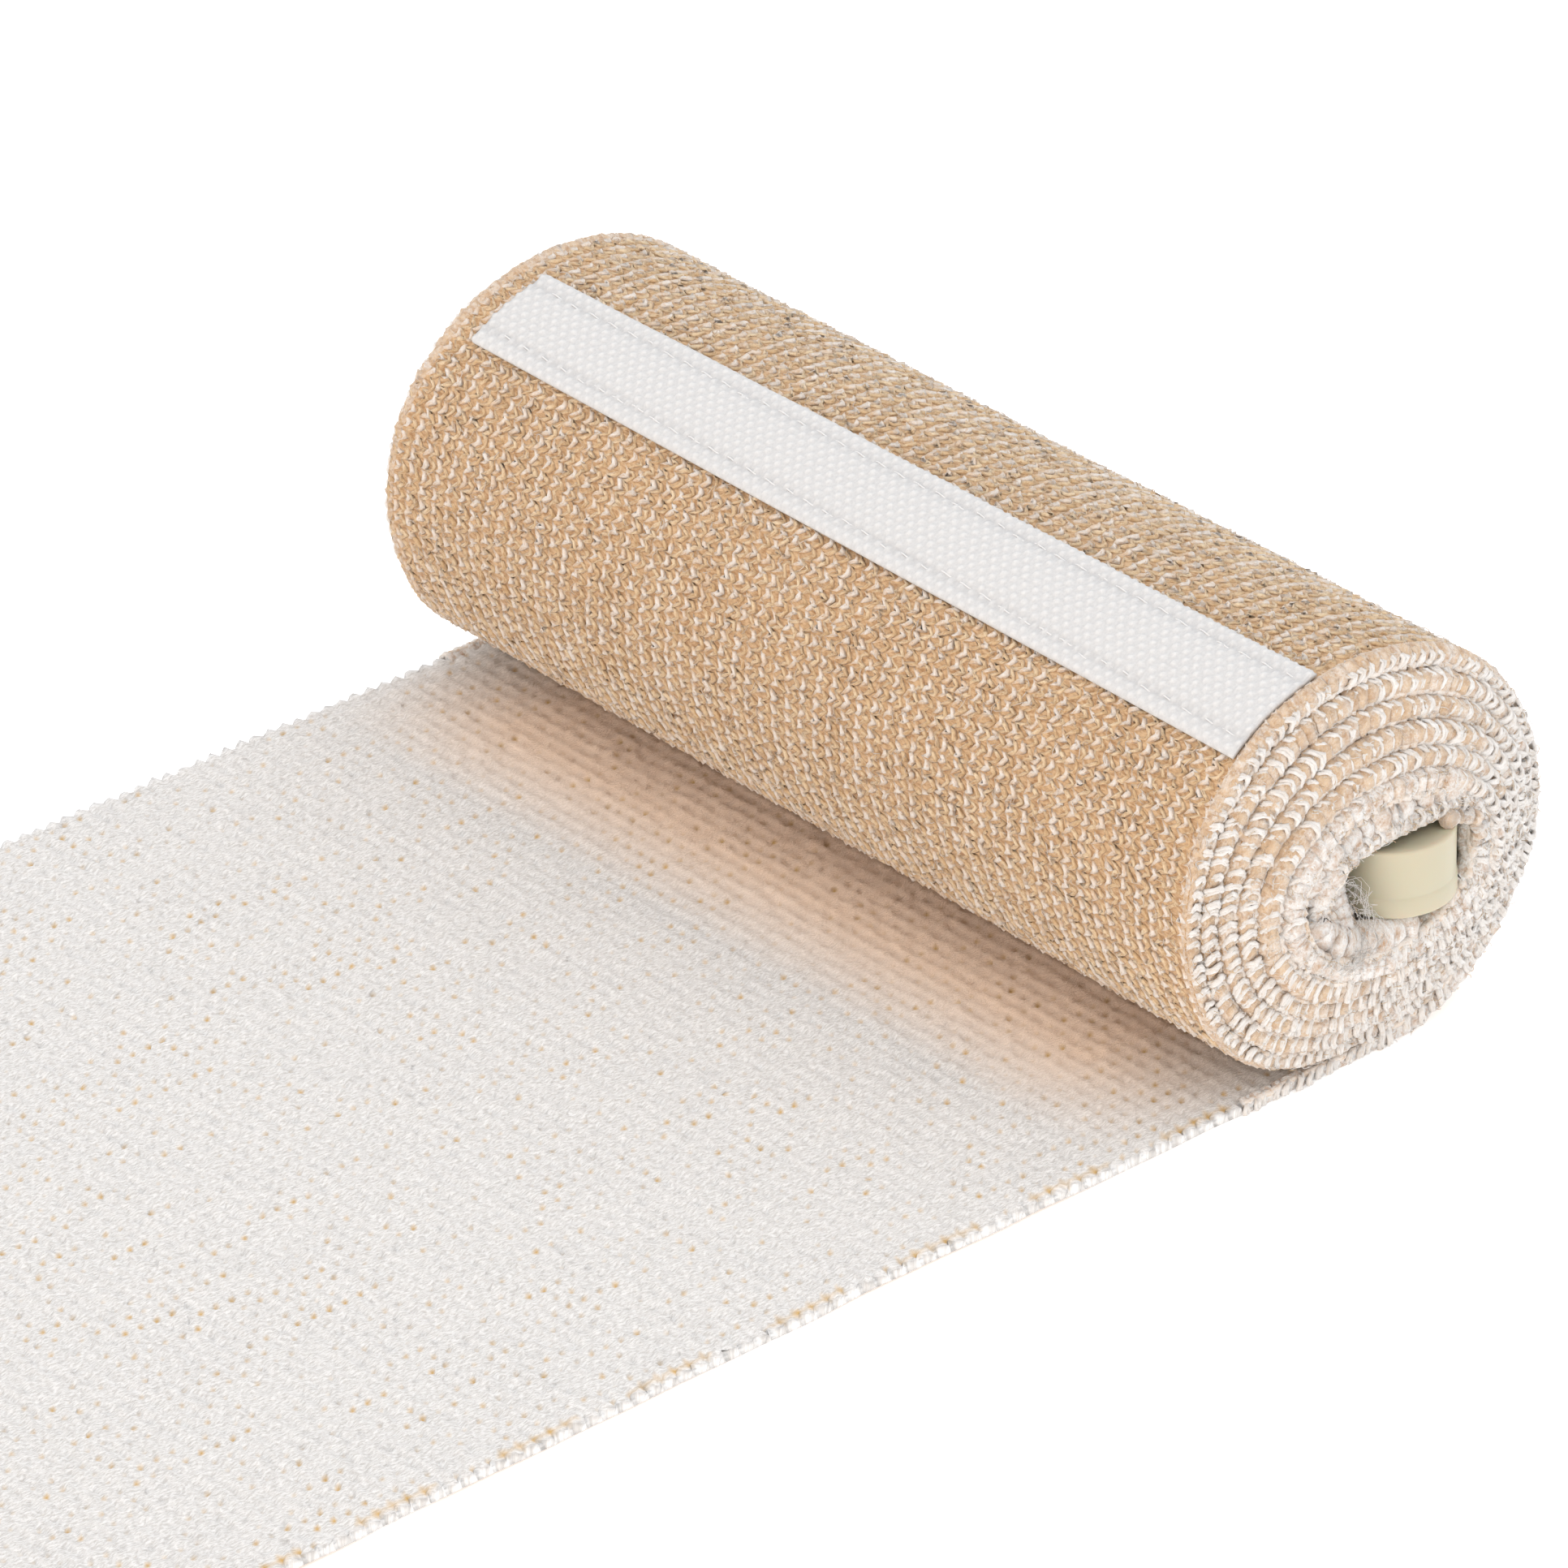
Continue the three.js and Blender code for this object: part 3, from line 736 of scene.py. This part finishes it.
# Loose fibres stand out of the near end, most of them in the core of the roll. The long ones are
# white, and of the short ones there are this many in each yarn.
LONG_FIBRES, END_FIBRES, CORE_FIBRES = 70, 850, 650
LONG_FROM, CORE_FIBRES_FROM = 6.9, 5.4
fuzz("long_fibres", dice.uniform(at_turn(LONG_FROM), BAND_LENGTH, LONG_FIBRES),
                  dice.uniform(-53, -50.5, LONG_FIBRES), lift=0.5, height=1.2, length=3.2,
                  radius=0.025, material=white_yarn, tone=1.0)
for fuzz_name, yarn in (("white_fuzz", white_yarn), ("tan_fuzz", tan_yarn)):
    fibre_along = np.concatenate([
        dice.uniform(ROLL_START, BAND_LENGTH, END_FIBRES),
        dice.uniform(at_turn(CORE_FIBRES_FROM), BAND_LENGTH, CORE_FIBRES)])
    fibre_across = -BAND_WIDTH / 2 - dice.uniform(0.1, 0.6, len(fibre_along))
    fibre_lift = reached(fibre_along[:, None], dice.uniform(-0.9, 0.9, (len(fibre_along), 1)))
    fuzz(fuzz_name, fibre_along, fibre_across, fibre_lift, height=0.2, length=0.8,
                      radius=0.03, material=yarn, tone=dice.uniform(0.4, 1, (len(fibre_along), 1)))


# the fastening tape
# Hook tape: a white woven nylon strip with rows of small hooks, which is sewn across the outside of the
# roll with two rows of shiny thread. It is 9.5 mm wide at its near end and 8.5 mm at its far end.
TAPE_NEAR, TAPE_FAR = -49.2, 46.4
NEAR_WIDTH, FAR_WIDTH = 9.5, 8.5
TAPE_START = 0.526
TAPE_GRID = 0.18
TAPE_UNDER, TAPE_TOP, CROWN = 0.6, 1.1, 0.2
HOOK_PITCH, HOOK_HEIGHT = 0.9, 0.2
EDGE_ROUND, EDGE_DROP = 0.5, 0.28
SEAM_INSET, SEAM_WIDTH, SEAM_DEPTH = 1.6, 0.45, 0.12


def width_at(over):
    """How wide the tape is there."""
    return NEAR_WIDTH + (FAR_WIDTH - NEAR_WIDTH) * (over - TAPE_NEAR) / (TAPE_FAR - TAPE_NEAR)


tape_from = at_turn(TAPE_START)
tape_rows = np.linspace(0, 1, int(NEAR_WIDTH / TAPE_GRID) + 1)
tape_columns = np.linspace(TAPE_NEAR, TAPE_FAR, int((TAPE_FAR - TAPE_NEAR) / TAPE_GRID) + 1)
down, over = np.meshgrid(tape_rows, tape_columns, indexing="ij")
tape_width = width_at(over)
down = down * tape_width
hook_wave = 2 * math.pi / (HOOK_PITCH * math.sqrt(2))
hooks = np.clip(np.cos(hook_wave * down) * np.cos(hook_wave * over), 0, 1)
seam = sum(np.exp(-((down - place) / SEAM_WIDTH) ** 2)
           for place in (SEAM_INSET, tape_width - SEAM_INSET))
rim = np.clip(np.minimum(down, tape_width - down) / EDGE_ROUND, 0, 1) ** 0.5
crown = CROWN * (2 * down / tape_width - 1) ** 2
# The edge towards the top of the roll is scalloped where the weave was cut between two rows of hooks,
# most at the near end.
CUT_DEPTH, CUT_WIDTH = 0.16, 1.2
CUT_FULL_UNTIL, CUT_FADED, CUT_LEAST = -10, 20, 0.25
cut_share = np.clip((CUT_FADED - over) / (CUT_FADED - CUT_FULL_UNTIL), CUT_LEAST, 1)
cut = CUT_DEPTH * np.abs(np.sin(math.pi * over / HOOK_PITCH)) * cut_share
tape_along = tape_from + down + cut * np.clip(1 - down / CUT_WIDTH, 0, 1)
height = TAPE_TOP - EDGE_DROP * (1 - rim) + (HOOK_HEIGHT * hooks - SEAM_DEPTH * seam) * rim + crown
points, faces = wrapped_sheet(on_band(tape_along, over, height)[0],
                              on_band(tape_along, over, TAPE_UNDER + crown)[0])

# White nylon, woven, with moulded hooks: clean and a little glossy, with threads 0.2 mm apart. Its
# colour is painted lighter on the hooks and darker in the hollows and seams: painted highlight and
# shade.
WEAVE = 0.9
nylon, tree, shader = start_material("White_woven_nylon", Roughness=0.55)
place = add_node(tree, "ShaderNodeTexCoord").outputs["Object"]
threads = add_node(tree, "ShaderNodeTexNoise", {"Vector": place, "Scale": 4500, "Detail": 2})
tone = add_node(tree, "ShaderNodeAttribute", attribute_name="tone").outputs["Fac"]
woven = add_node(tree, "ShaderNodeMath", {0: threads.outputs[0], 1: WEAVE, 2: -WEAVE / 2},
                 operation="MULTIPLY_ADD")
woven = add_node(tree, "ShaderNodeMath", {0: woven.outputs[0], 1: tone}, operation="ADD",
                 use_clamp=True)
shade = add_node(tree, "ShaderNodeMix", {FACTOR: woven.outputs[0], FIRST: colour("#b7b7b7"),
                                         SECOND: colour("#d4d4d3")}, data_type="RGBA")
tree.links.new(shade.outputs[MIXED], shader.inputs["Base Color"])
bump = add_node(tree, "ShaderNodeBump", {"Height": threads.outputs[0], "Strength": 0.4,
                                         "Distance": 0.00006})
tree.links.new(bump.outputs[0], shader.inputs["Normal"])
# Painted highlight and shade: lighter on the hooks' tips, darker between them and in the seams.
hook_light_and_shade = np.concatenate([np.clip(0.5 + 0.6 * hooks - 0.3 * seam, 0, 1), 0.5 + 0 * hooks], axis=1)
tape = make_piece("tape", points, faces.tolist(), [nylon], tone=hook_light_and_shade)
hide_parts("fastening_tape")

# Polyester sewing thread: smooth and shiny. Each stitch rises out of the tape and dips in again.
SEAM_STITCH, STITCH_SHARE, STITCH_POINTS, FIRST_STITCH = 2.45, 0.94, 8, 0.6
THREAD_RADIUS, THREAD_SIDES, THREAD_TONE = 0.065, 6, 0.5
THREAD_SUNK, THREAD_RISE, THREAD_SWAY, THREAD_LEAN = 0.2, 0.34, 0.1, 0.05
sewing_thread = start_material("White_polyester_thread", Base_Color=colour("#dededd"), Roughness=0.3)[0]
stitch_starts = np.arange(TAPE_NEAR + FIRST_STITCH, TAPE_FAR - SEAM_STITCH, SEAM_STITCH)
arc = np.linspace(0, 1, STITCH_POINTS)
rows = []
for lower in (False, True):
    sway = dice.normal(0, THREAD_SWAY, (len(stitch_starts), 1))
    over = stitch_starts[:, None] + arc * SEAM_STITCH * STITCH_SHARE
    inset = width_at(over) - SEAM_INSET if lower else SEAM_INSET
    down = tape_from + inset + sway + THREAD_LEAN * np.sin(2 * math.pi * arc)
    lift = TAPE_TOP - SEAM_DEPTH - THREAD_SUNK + THREAD_RISE * np.sin(math.pi * arc) ** 0.5
    rows.append(on_band(down, over, lift))
lines = np.concatenate([row[0] for row in rows])
ways = np.concatenate([row[1] for row in rows])
seams = yarns("tape_seams", lines, ways, THREAD_RADIUS, THREAD_SIDES, sewing_thread, THREAD_TONE)


# the closure bar
# A moulded polypropylene bar with full round ends. It lies in the core of the roll and its near end
# stands out. Its top is slightly dished and a faint parting line runs round it.
BAR_LENGTH, BAR_WIDTH, BAR_HEIGHT = 104.0, 10.2, 5.9
BAR_ACROSS, BAR_BOTTOM = 3.3, 13.45
BAR_SIDES = 48
RIM, RIM_SEGMENTS, SHARP = 0.22, 4, math.radians(60)
LIP, DISH_SLOPE, DISH = 0.3, 0.9, 0.2
PARTING, PARTING_WIDTH, PARTING_DEPTH = 1.7, 0.14, 0.09

half_step = math.pi / BAR_SIDES
bpy.ops.object.select_all(action="DESELECT")
bpy.ops.mesh.primitive_cylinder_add(vertices=BAR_SIDES, radius=BAR_WIDTH / 2 / math.cos(half_step) * MM,
                                    depth=BAR_HEIGHT * MM, rotation=(0, 0, half_step))
bar = bpy.context.object
bar.name = "bar"
bpy.ops.object.transform_apply(location=False, rotation=True, scale=True)


def choose(piece, kind, test):
    """In edit mode, selects the vertices or faces of a piece that a test picks, and nothing else."""
    bpy.ops.object.mode_set(mode="EDIT")
    bpy.ops.mesh.select_mode(type=kind)
    bpy.ops.mesh.select_all(action="DESELECT")
    bpy.ops.object.mode_set(mode="OBJECT")
    for part in piece.data.vertices if kind == "VERT" else piece.data.polygons:
        part.select = test(part)
    bpy.ops.object.mode_set(mode="EDIT")


choose(bar, "VERT", lambda corner: corner.co.y > 0)
bpy.ops.transform.translate(value=(0, (BAR_LENGTH - BAR_WIDTH) * MM, 0))
bpy.ops.object.mode_set(mode="OBJECT")
rims = bar.modifiers.new("rims", "BEVEL")
rims.width = RIM * MM
rims.segments = RIM_SEGMENTS
rims.limit_method = "ANGLE"
rims.angle_limit = SHARP
bpy.ops.object.modifier_apply(modifier="rims")
for above in (-PARTING_WIDTH, 0, PARTING_WIDTH):
    choose(bar, "FACE", lambda face: True)
    bpy.ops.mesh.bisect(plane_co=(0, 0, (PARTING + above - BAR_HEIGHT / 2) * MM), plane_no=(0, 0, 1))
    if above == 0:
        bpy.ops.transform.shrink_fatten(value=-PARTING_DEPTH * MM)
    bpy.ops.object.mode_set(mode="OBJECT")
choose(bar, "FACE", lambda face: face.normal.z > 0.99)
bpy.ops.mesh.inset(thickness=LIP * MM)
bpy.ops.mesh.inset(thickness=DISH_SLOPE * MM)
bpy.ops.transform.translate(value=(0, 0, -DISH * MM))
bpy.ops.object.mode_set(mode="OBJECT")
bar.location = ORIGIN + MM * Vector((BAR_ACROSS, BAR_WIDTH / 2 - BAR_NEAR_END,
                                     BAR_BOTTOM + BAR_HEIGHT / 2))
bpy.ops.object.transform_apply(location=True, rotation=True, scale=True)

# Polypropylene, moulded: cream, satin and a little see-through, so light soaks into its edges.
polypropylene = start_material("Cream_moulded_polypropylene", Base_Color=colour("#b9b39b"),
                               Roughness=0.38, IOR=1.49, Subsurface_Weight=0.25,
                               Subsurface_Scale=0.002)[0]
bar.data.materials.append(polypropylene)
bpy.ops.object.shade_smooth_by_angle(angle=math.radians(35))
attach(bar, "root")
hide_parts("closure_bar")
